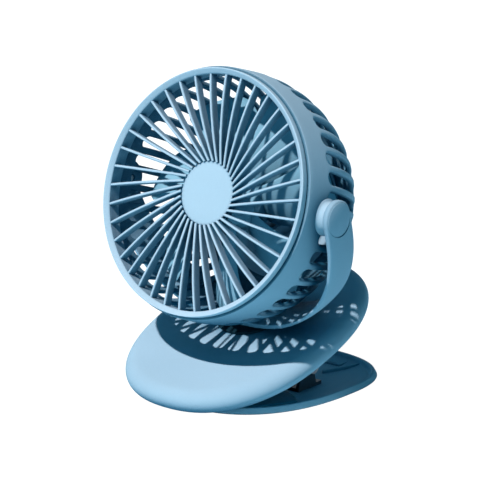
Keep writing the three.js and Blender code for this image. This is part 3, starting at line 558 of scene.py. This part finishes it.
# ---- Yoke ----
# One thick U-shaped strap, flat inside and rounded outside. Its round ends hold the head, and a
# hollow post under its foot turns in the upper jaw.
PIVOT = Vector((0, -29.539, 126.821))
YOKE = Matrix.Translation(PIVOT) @ Matrix.Rotation(UPPER_TILT, 4, "X")
YOKE_IN, YOKE_DEEP = 83.4, 80.478            # from the pivot to an arm, and down to the foot
END_WALL, FOOT_WALL = 4.8, 3                 # the strap's thickness
END, WAIST, FOOT = 11.6, 12.0, 14.3          # its half width
CROWN, FOOT_CROWN = 2.2, 0.5                 # how far its outside bulges
BEND = 2.4                                   # power of the curve that the U follows
SIDES = ((1, "right"), (-1, "left"))


def strap_ring(inner_point, outer_point, half, crown):
    """Section of the strap: flat inside, and rounded over the outside by its crown."""
    inner_point, outer_point = np.array(inner_point, float), np.array(outer_point, float)
    out = outer_point - inner_point
    wall = np.linalg.norm(out)
    out /= wall
    edge, arch_steps = min(0.7, half * 0.4), 24
    line = rounded([(0, 0), (half, 0), (half, wall - crown)], [0, edge, 0], 4)
    for i in range(1, arch_steps):
        a = math.pi * i / arch_steps
        line.append((half * math.cos(a), wall - crown + crown * math.sin(a)))
    line += rounded([(-half, wall - crown), (-half, 0), (0, 0)], [0, edge, 0], 4)[:-1]
    ring = []
    for y, w in line:
        p = inner_point + out * w
        ring.append((p[0], y, p[1]))
    return ring


def smooth_step(t):
    t = min(1.0, max(0.0, t))
    return t * t * (3 - 2 * t)


right_side = []
for a in (88.5, 86, 82, 77, 71, 64, 56, 48, 39, 30, 21, 12, 4):
    rise, c = math.sin(math.radians(a)), math.cos(math.radians(a))
    outer_point = (YOKE_IN + END_WALL - CROWN * (1 - c), END * rise)
    right_side.append(strap_ring((YOKE_IN, END * rise), outer_point, END * c, CROWN * c))
arm_steps = 44
for i in range(arm_steps):
    t = i / arm_steps * math.pi / 2
    c, s = math.cos(t) ** (2 / BEND), math.sin(t) ** (2 / BEND)
    wall = FOOT_WALL + (END_WALL - FOOT_WALL) * max(0, 1 - s / 0.9)
    neck = END + (WAIST - END) * smooth_step(s / 0.4)
    half = neck + (FOOT - neck) * smooth_step((s - 0.4) / 0.6)
    crown = CROWN + (FOOT_CROWN - CROWN) * smooth_step((s - 0.8) / 0.2)
    outer_point = ((YOKE_IN + wall) * c, -(YOKE_DEEP + wall) * s)
    right_side.append(strap_ring((YOKE_IN * c, -YOKE_DEEP * s), outer_point, half, crown))
foot = strap_ring((0, -YOKE_DEEP), (0, -YOKE_DEEP - FOOT_WALL), FOOT, FOOT_CROWN)
left_side = [[(-x, -y, z) for x, y, z in ring] for ring in right_side[::-1]]
strap = skin_rings(right_side + [foot] + left_side, capped=True)
yoke_strap = finished_piece("yoke_strap", [aimed(strap, YOKE)], blue, "yoke", "yoke")


def across(place, side):
    """The place's frame, turned so that Z runs out along the pivot line to the side."""
    return place @ Matrix.Rotation(side * math.pi / 2, 4, "Y")


CAP_HOLE = 10.55
recess = YOKE_IN + END_WALL - 2.3
cut_away(yoke_strap, *(aimed(drill(CAP_HOLE, recess, 99, 72), across(YOKE, side))
                       for side, _ in SIDES), overlapping=True)
wire_hole, post_radius, post_end, post_top = 5, 8, -92.68, -80.98
post = spun([(wire_hole, post_end), (post_radius, post_end), (post_radius, post_top),
             (wire_hole, post_top)], 48)
finished_piece("yoke_post", [aimed(post, YOKE)], blue, "yoke", sharp=40)

# ---- Pivot caps ----
# Round domed caps of the same blue plastic snap into the yoke's ends, and hide the two screws on
# which the head tilts.
face, bulge = YOKE_IN + END_WALL + 0.05, 2.0
dome_line = [(r, face - bulge * (1 - math.sqrt(1 - (r / END) ** 2)))
             for r in (10.3, 10, 9.5, 9, 8, 7, 5.5, 4, 2, 0)]
cap_radius, cap_back = CAP_HOLE - 0.1, recess + 0.6
cap_line = rounded([(0, cap_back), (cap_radius, cap_back), (cap_radius, dome_line[0][1] - 0.2)],
                   [0, 0.3, 0]) + dome_line
cap = spun(cap_line, 72, closed=False)
for side, word in SIDES:
    finished_piece("end_cap_" + word, [aimed(cap, across(YOKE, side))], blue, "yoke",
                   "pivot_cap_" + word)

# ---- Head drum ----
# A single blue moulding: a smooth band, then forty long slots with round ends between soft bars
# that curve over the back to a flat end. Each ninth degree repeats, so one slot is made and turned.
HEAD_TILT = math.radians(18.8)
HEAD = Matrix.Translation(PIVOT) @ Matrix.Rotation(math.pi / 2 - HEAD_TILT, 4, "X")
SLOTS, BAR = 40, 4.3
BAND_WALL, BAR_WALL, LIP_WALL = 2.5, 3.4, 2.6
BACK = -62.45
BELLY, BELLY_DEEP, BELLY_TOP = 78, 81, 0.25  # the curve over the back: half axes and centre


def on_belly(angle):
    return np.array((BELLY * math.cos(angle), BELLY_TOP - BELLY_DEEP * math.sin(angle)))


skin_line = [np.array(p) for p in (
    (75.2, 19.5), (76.2, 19.5), (76.8, 19.5), (77.0, 19.45), (77.12, 19.3), (77.2, 19.0),
    (77.4, 16), (77.6, 12), (77.75, 8), (77.9, 4), (78, 1))]
skin_line += [on_belly(a) for a in np.radians(np.linspace(1.5, 45, 60))]
skin_line += rounded([skin_line[-1], (51.2, BACK + 1.7), (48.6, BACK), (45, BACK)],
                     [0, 5, 5, 0], 6)[1:]
skin_line += [np.array(p) for p in ((39.0, BACK), (38.45, BACK + 0.1), (38.2, BACK + 0.5))]
skin_line = np.array(skin_line)
steps_down = np.linalg.norm(np.diff(skin_line, axis=0), axis=1)
run = np.concatenate(([0], np.cumsum(steps_down)))
tangent = np.gradient(skin_line, run, axis=0)
tangent /= np.linalg.norm(tangent, axis=1)[:, None]
normal = np.stack([-tangent[:, 1], tangent[:, 0]], 1)
slot_start = run[np.argmin(np.abs(skin_line[:, 1] + 0.2 - BELLY_TOP))]
slot_end = run[np.argmin(np.linalg.norm(skin_line - on_belly(math.radians(41.5)), axis=1))]


def on_drum(s, share, depth):
    """Point at a run s down the drum, share of half a pitch across, depth under the skin."""
    r, z = np.interp(s, run, skin_line[:, 0]), np.interp(s, run, skin_line[:, 1])
    nr, nz = np.interp(s, run, normal[:, 0]), np.interp(s, run, normal[:, 1])
    r, z = r - nr * depth, z - nz * depth
    a = share * math.pi / SLOTS
    return (r * math.cos(a), r * math.sin(a), z)


def half_pitch(s):
    return math.pi / SLOTS * np.interp(s, run, skin_line[:, 0])


def wall_at(s):
    """Thickness at a run s: thin in the band, thick in the bars, thin again at the cover's seat."""
    if s > run[-1] - 6:
        return LIP_WALL
    return BAND_WALL + (BAR_WALL - BAND_WALL) * smooth_step((s - 4) / (slot_start - 4))


# The slot's outline as (run, how far across), and for each of its points one on the border of the
# patch round it as (run, share of half a pitch across)
lead, tail, end_steps = 2.6, 2.4, 16
start_half = half_pitch(slot_start + 3.5) - BAR / 2
end_half = half_pitch(slot_end - 2) - BAR / 2
outline, border = [], []


def round_end(centre, way, half, beyond):
    """Half round end of the slot, up the drum where way is -1, and the border past it."""
    for i in range(end_steps + 1):
        u = i / end_steps
        outline.append((centre + way * half * math.sin(math.pi * u),
                        way * half * math.cos(math.pi * u)))
        if 0.25 < u < 0.75:
            border.append((centre + way * (half + beyond), way * (0.5 - u) * 4))
        else:
            border.append((centre + way * (half + beyond) * min(u, 1 - u) * 4,
                           way if u < 0.5 else -way))


side_runs = np.linspace(slot_start + start_half, slot_end - end_half, 20)[1:-1]
for way, centre, half, beyond, runs in (
        (-1, slot_start + start_half, start_half, lead, side_runs),
        (1, slot_end - end_half, end_half, tail, side_runs[::-1])):
    round_end(centre, way, half, beyond)
    for s in runs:
        outline.append((s, -way * (half_pitch(s) - BAR / 2)))
        border.append((s, -way))


def eased_drop(distance, radius):
    """How far a rounded edge falls off at a distance from the cut."""
    return radius - math.sqrt(max(0, radius ** 2 - max(0, radius - distance) ** 2))


layers = (0, 0.07, 0.17, 0.3, 0.5, 0.75, 1)
loops = []
for top, radius in ((True, 1.3), (False, 0.7)):
    for t in (layers[::-1] if top else layers):
        loop = []
        for (s, x), (sb, share) in zip(outline, border):
            xb = share * half_pitch(sb)
            s2, x2 = s + (sb - s) * t, x + (xb - x) * t
            drop = eased_drop(math.hypot(s2 - s, x2 - x), radius)
            depth = drop if top else wall_at(s2) - drop
            loop.append(on_drum(s2, x2 / half_pitch(s2) if t < 1 else share, depth))
        loops.append(loop)
sector = [skin_rings(loops)]
columns = np.linspace(-1, 1, 9)
above = [s for s in run if s < slot_start - lead - 0.4] + [slot_start - lead]
below = [slot_end + tail] + [s for s in run if s > slot_end + tail + 0.3]
for runs, rim in ((above, 0), (below, -1)):
    outer = [[on_drum(s, c, 0) for c in columns] for s in runs]
    inner = [[on_drum(s, c, wall_at(s)) for c in columns] for s in runs]
    sector += [skin_rings(rows, closed=False)
               for rows in (outer, inner, [outer[rim], inner[rim]])]


def turning_tree(name):
    """Node tree that repeats a piece round its own axis, welds the copies and finishes them."""
    tree = bpy.data.node_groups.new(name, "GeometryNodeTree")
    for label, kind, way in (
            ("Geometry", "Geometry", "INPUT"), ("Count", "Int", "INPUT"),
            ("First turn", "Float", "INPUT"), ("Weld", "Float", "INPUT"),
            ("Finish", "Material", "INPUT"), ("Geometry", "Geometry", "OUTPUT")):
        tree.interface.new_socket(label, in_out=way, socket_type="NodeSocket" + kind)
    source, sink, points, index, step, turn, shift, spin, copies, real, weld, coat = (
        tree.nodes.new(kind) for kind in (
            "NodeGroupInput", "NodeGroupOutput", "GeometryNodeMeshLine", "GeometryNodeInputIndex",
            "ShaderNodeMath", "ShaderNodeMath", "ShaderNodeMath", "ShaderNodeCombineXYZ",
            "GeometryNodeInstanceOnPoints", "GeometryNodeRealizeInstances",
            "GeometryNodeMergeByDistance", "GeometryNodeSetMaterial"))
    points.inputs["Offset"].default_value = (0, 0, 0)
    step.operation, turn.operation, shift.operation = "DIVIDE", "MULTIPLY", "ADD"
    step.inputs[0].default_value = 2 * math.pi
    for giver, taker in (
            (source.outputs["Count"], points.inputs["Count"]),
            (source.outputs["Count"], step.inputs[1]),
            (index.outputs[0], turn.inputs[0]),
            (step.outputs[0], turn.inputs[1]),
            (turn.outputs[0], shift.inputs[0]),
            (source.outputs["First turn"], shift.inputs[1]),
            (shift.outputs[0], spin.inputs["Z"]),
            (points.outputs["Mesh"], copies.inputs["Points"]),
            (source.outputs["Geometry"], copies.inputs["Instance"]),
            (spin.outputs[0], copies.inputs["Rotation"]),
            (copies.outputs[0], real.inputs[0]),
            (real.outputs[0], weld.inputs["Geometry"]),
            (source.outputs["Weld"], weld.inputs["Distance"]),
            (weld.outputs[0], coat.inputs["Geometry"]),
            (source.outputs["Finish"], coat.inputs["Material"]),
            (coat.outputs[0], sink.inputs[0])):
        tree.links.new(giver, taker)
    return tree


round_axis = turning_tree("repeat_round_axis")


def repeated(shapes, count, first_turn, material, weld=1e-6):
    """Copies of millimetre shapes round Z, as millimetre vertices and faces."""
    mesh = welded("one_of_many", shapes, 1, 1e-4)
    seed = bpy.data.objects.new("one_of_many", mesh)
    bpy.context.scene.collection.objects.link(seed)
    modifier = seed.modifiers.new("round", "NODES")
    modifier.node_group = round_axis
    values = {"Count": count, "First turn": first_turn, "Weld": weld, "Finish": material}
    for item in round_axis.interface.items_tree:
        if item.in_out == "INPUT" and item.name in values:
            modifier[item.identifier] = values[item.name]
    result = as_plain_mesh(seed)
    shape = [tuple(v.co) for v in result.vertices], [tuple(p.vertices) for p in result.polygons]
    bpy.data.objects.remove(seed)
    bpy.data.meshes.remove(mesh)
    bpy.data.meshes.remove(result)
    return shape


seam = 2e-3
# Painted shade: a darker colour, reaching 50 mm, fills the drum's slots and inside
shell_blue = moulded_plastic("shell_plastic", (0.24, 0.48, 0.62, 1), (0.004, 0.10, 0.18, 1),
                             painted_shade_reach=0.05, painted_shade_share=0.45)
drum = repeated(sector, SLOTS, math.radians(8.4), shell_blue, seam)
drum_piece = finished_piece("drum", [aimed(drum, HEAD)], shell_blue, "head", "head_shell",
                            weld=seam * MM)
cut_away(drum_piece, *(aimed(drill(SCREW_SEAT, BACK - 2, BACK + 1.3),
                             HEAD @ Matrix.Rotation(math.radians(a), 4, "Z")
                             @ Matrix.Translation((40.9, 0, 0))) for a in (90, 210, 330)))

# ---- Pads and bosses ----
# A round pad inside each side of the drum stiffens it where it hangs. Outside, a boss that flares
# towards the drum keeps it clear of the yoke. The pivot screw runs through both.
screw_hole = 2.6
pad_out = rounded([(screw_hole, 74.9), (9.95, 74.9), (9.95, 78.05), (screw_hole, 78.05)], 0.35)
finished_piece("drum_pads", [aimed(spun(pad_out), across(HEAD, side)) for side, _ in SIDES],
               shell_blue, "head", sharp=38)
# The bosses get a lighter copy of the blue with almost no painted shade: a painted highlight
blue_with_painted_highlight = moulded_plastic("boss_plastic", (0.29, 0.55, 0.69, 1), painted_shade_reach=0.002)
boss = rounded([(screw_hole, 77.3), (11.2, 77.3), (9.9, 78.3), (9.4, 79.6), (9.4, 82.3),
                (screw_hole, 82.3), (screw_hole, 77.3)], [0, 0, 1, 1, 0.4, 0.3, 0])[:-1]
for side, word in SIDES:
    finished_piece("boss_" + word, [aimed(spun(boss), across(HEAD, side))],
                   blue_with_painted_highlight, "head", "trunnion_" + word)

# ---- Front grille ----
# Thirty-eight deep, slanting ribs run from a bare centre disc to a rounded ring, dished inwards
# towards the middle. Ring and ribs are one moulding, pushed into the drum.
RIBS, RIB_SHIFT = 38, 8.6
DISC, OPENING = 19.4, 72
ring_line = rounded([(OPENING, 13.5), (74.7, 13.5), (74.7, 20.25), (75.6, 20.25), (75.6, 24.4),
                     (74.9, 24.45), (72.5, 22.9), (OPENING, 22.4), (OPENING, 13.5)],
                    [0, 0.3, 0.2, 0.3, 0.6, 0.8, 0.5, 0.3, 0], 6)[:-1]
ring = spun(ring_line, 152)
rib_start, rib_end = (math.sqrt(r ** 2 - RIB_SHIFT ** 2) for r in (DISC + 0.05, OPENING + 1.2))
rib_section = [(-0.55, -6.0), (-0.85, -1.0), (-0.8, -0.45), (-0.55, -0.12), (-0.2, 0),
               (0.2, 0), (0.55, -0.12), (0.8, -0.45), (0.85, -1.0), (0.55, -6.0)]
at_disc, halfway, at_ring = 18.9, 22.7, 22.4
rib_steps = 12
rib_rings = []
for i in range(rib_steps + 1):
    u = rib_start + (rib_end - rib_start) * i / rib_steps
    t = max(0, (math.hypot(u, RIB_SHIFT) - DISC) / (OPENING - DISC))
    front = (at_disc * (1 - t) * (1 - 2 * t) + halfway * 4 * t * (1 - t)
             + at_ring * t * (2 * t - 1))
    rib_rings.append([(u, x - RIB_SHIFT, front + z) for x, z in rib_section])
# Painted shade with a 30 mm reach darkens the grille between its ribs and behind its ring
grille_blue = moulded_plastic("grille_plastic", (0.31, 0.57, 0.71, 1), (0.006, 0.10, 0.19, 1),
                              roughness=0.5, grain=0.2, painted_shade_reach=0.03)
ribs = repeated([skin_rings(rib_rings, capped=True)], RIBS, math.radians(97.35), grille_blue)
hub_plate = spun(rounded([(0, 12.9), (20.8, 12.9), (20.8, 15.7), (0, 15.7)], 0.4), 96,
                 closed=False)
finished_piece("grille", [aimed(part, HEAD) for part in (ring, ribs, hub_plate)], grille_blue,
               "head", "front_grille")
# The centre disc shares the lighter blue: a painted highlight
disc_line = rounded([(0, 16.0), (18.4, 16.0), (DISC, 16.8), (DISC, 17.7), (12, 17.78), (0, 17.8)],
                    [0, 0.3, 0.3, 0.25, 6, 0])
finished_piece("centre_disc", [aimed(spun(disc_line, 96, closed=False), HEAD)], blue_with_painted_highlight,
               "head", "grille_centre_cap")

# ---- Impeller ----
# Seven wide, twisted blades on a short hub, moulded in the same blue plastic, a little glossier,
# pressed on the shaft of a small motor behind it.
# Painted shade darkens the blades where the hub and drum lie near
blade_blue = moulded_plastic("blade_plastic", (0.17, 0.45, 0.60, 1), (0.01, 0.13, 0.22, 1),
                             roughness=0.45, grain=0.12)
BLADES, BLADE_FOOT, BLADE_TIP = 7, 16.2, 67
BLADE_MIDDLE, BLADE_HALF_WALL, CAMBER = -19.05, 0.8, 2
blade_steps = 18
blade_rings = []
for i in range(blade_steps + 1):
    share = i / blade_steps
    r = BLADE_FOOT + (BLADE_TIP - BLADE_FOOT) * share
    chord = 22 + 20 * math.sqrt(share)
    angle, sweep = math.radians(42 - 18 * share), 0.35 * share
    squeeze = 1 if share < 0.9 else math.sqrt(max(0.12, 1 - ((share - 0.9) / 0.1) ** 2 * 0.35))
    loop = []
    stops = np.sin(np.linspace(-math.pi / 2, math.pi / 2, 15)) * 0.5
    for lift, order in ((-1, stops), (1, stops[::-1])):
        for c in order:
            thin = BLADE_HALF_WALL * math.sqrt(max(0.02, 1 - (2 * c) ** 8))
            a = sweep + c * squeeze * chord * math.cos(angle) / r
            z = (BLADE_MIDDLE + c * squeeze * chord * math.sin(angle) + CAMBER * (1 - 4 * c * c)
                 + lift * thin)
            loop.append((r * math.cos(a), r * math.sin(a), z))
    blade_rings.append(loop)
blades = repeated([skin_rings(blade_rings, capped=True)], BLADES, 0.0, blade_blue)
hub_line = rounded([(1.8, -9.25), (12, -9.25), (15.8, -11.25), (17.2, -14.55), (17.2, -28.05),
                    (15.2, -28.05), (15.2, -15.55), (13.5, -12.25), (5, -12.25), (5, -25.25),
                    (1.8, -25.25), (1.8, -9.25)], 0.7)[:-1]
finished_piece("fan_wheel", [aimed(part, HEAD) for part in (spun(hub_line, 84), blades)],
               blade_blue, "impeller", "impeller")

# ---- Rear cover and button ----
# A round lid with three sunk screws closes the back and holds the motor. Its middle is the power
# button inside a milky ring of light. Heights are from the drum's flat back.


def from_back(points, radii):
    """Outline of (radius, height over the drum's back) points, with its corners eased."""
    return rounded([(r, BACK + z) for r, z in points], radii)


cover = from_back([(9.9, 0), (37.9, 0), (37.9, 2.9), (43.2, 2.9), (43.2, 4.7), (16, 4.7),
                   (16, 17.8), (13.3, 17.8), (13.3, 2.2), (9.9, 2.2), (9.9, 0)],
                  [0, 0.5, 0, 0, 0, 0, 0.3, 0.3, 0, 0, 0])[:-1]
finished_piece("back_lid", [aimed(spun(cover, 96), HEAD)], blue, "head", "rear_cover")
glow = from_back([(7.5, -0.3), (9.6, -0.3), (9.6, 2.2), (7.5, 2.2), (7.5, -0.3)], 0.25)[:-1]
finished_piece("light_ring", [aimed(spun(glow, 72), HEAD)], nylon, "head", "indicator_ring")
knob = from_back([(0, -0.75), (3, -0.8), (6.2, -1.2), (7.2, -0.6), (7.2, 1.1), (0, 1.1)],
                 [0, 2, 0.6, 0.4, 0.2, 0])
finished_piece("button", [aimed(spun(knob, 72, closed=False), HEAD)], blue, "power_button",
               "power_button")

# ---- Swivel disc ----
# A thin rubber washer lies round the yoke's post, between its foot and the upper jaw, and lets it
# turn stiffly. Its near-black colour is painted shadow, for the deep shade under the yoke.
disc_top, disc_radius = -YOKE_DEEP - FOOT_WALL - GAP, 22
disc_under = disc_top - 1.6
washer = rounded([(POST_HOLE, disc_under), (disc_radius, disc_under), (disc_radius, disc_top),
                  (POST_HOLE, disc_top), (POST_HOLE, disc_under)], [0, 0.3, 0.7, 0, 0])[:-1]
washer_finish = Finish("washer_rubber", Specular_IOR_Level=0.05)
# Near-black: painted shadow
painted_shadow_rubber = washer_finish.give(
    Base_Color=washer_finish.between(washer_finish.noise(60, 4, 0.6),
                                     (0.002, 0.018, 0.03, 1), (0.003, 0.026, 0.042, 1)),
    Roughness=washer_finish.stretch(washer_finish.noise(700), 0.3, 0.7, 0.66, 0.8))
finished_piece("turning_washer", [aimed(spun(washer, 96), YOKE)], painted_shadow_rubber, "yoke",
               "swivel_disc")

# ---- Floor, light and surroundings ----
# A paper floor that the camera sees as white, one key lamp high in front, two weak soft boxes low
# in front and on the right, and a little sky-blue light from all round.
floor_mesh = bpy.data.meshes.new("floor")
floor_mesh.from_pydata([(-6, -6, 0), (6, -6, 0), (6, 6, 0), (-6, 6, 0)], [], [(0, 1, 2, 3)])
floor = bpy.data.objects.new("floor", floor_mesh)
floor.location.z = -0.0002
bpy.context.scene.collection.objects.link(floor)
paper = Finish("floor_paper", Specular_IOR_Level=0.1, Roughness=0.9)
paper.give(Base_Color=paper.between(paper.noise(30, 3), (0.34, 0.63, 0.75, 1),
                                    (0.37, 0.66, 0.78, 1)))
path = paper.add("LightPath", output="Is Camera Ray")
white = paper.add("Emission", {}, {"Color": (1, 1, 1, 1), "Strength": 1.3})
lit_paper = Signal(paper, paper.shader.outputs[0])
veil = paper.add("MixShader", {}, {0: path * 0.8, 1: lit_paper, 2: white})
paper.material.node_tree.links.new(veil.socket, paper.nodes["Material Output"].inputs["Surface"])
floor_mesh.materials.append(paper.material)

world = bpy.data.worlds.new("surroundings")
world.use_nodes = True
bpy.context.scene.world = world
sky = world.node_tree
sky.nodes.clear()
rays, two_rays, any_ray, fill, seen, mixed, out = (sky.nodes.new("ShaderNode" + kind) for kind in (
    "LightPath", "Math", "Math", "Background", "Background", "MixShader", "OutputWorld"))
two_rays.operation = any_ray.operation = "MAXIMUM"
for background, color, strength in ((fill, (0.04, 0.62, 1.0, 1), 0.1), (seen, (1, 1, 1, 1), 1.0)):
    background.inputs["Color"].default_value = color
    background.inputs["Strength"].default_value = strength
for giver, taker in (
        (rays.outputs["Is Camera Ray"], two_rays.inputs[0]),
        (rays.outputs["Is Glossy Ray"], two_rays.inputs[1]),
        (two_rays.outputs[0], any_ray.inputs[0]),
        (rays.outputs["Is Transmission Ray"], any_ray.inputs[1]),
        (any_ray.outputs[0], mixed.inputs[0]),
        (fill.outputs[0], mixed.inputs[1]),
        (seen.outputs[0], mixed.inputs[2]),
        (mixed.outputs[0], out.inputs["Surface"])):
    sky.links.new(giver, taker)


def lamp(name, kind, azimuth, elevation, distance, energy, size, color):
    """Lamp aimed at the fan from so many degrees round to the right and up.

    The size is an angle for a sun-like lamp, and metres across for a soft box.
    """
    light = bpy.data.lights.new(name, kind)
    light.energy = energy
    light.color = color
    if kind == "SUN":
        light.angle = size
    else:
        light.shape = "DISK"
        light.size = size
    holder = bpy.data.objects.new(name, light)
    a, e = math.radians(azimuth), math.radians(elevation)
    away = Vector((math.sin(a) * math.cos(e), -math.cos(a) * math.cos(e), math.sin(e)))
    holder.location = Vector((0, -0.03, 0.1)) + away * distance
    holder.rotation_euler = away.to_track_quat("Z", "Y").to_euler()
    bpy.context.scene.collection.objects.link(holder)


lamp("key_lamp", "SUN", -6, 55.5, 2, 5.5, math.radians(1.5), (1, 0.7, 0.66))
lamp("front_softbox", "AREA", 8, 2, 1.5, 1.9, 0.3, (0.15, 0.75, 1))
lamp("side_softbox", "AREA", 112, 7, 1.2, 0.4, 0.3, (0.2, 0.8, 1))
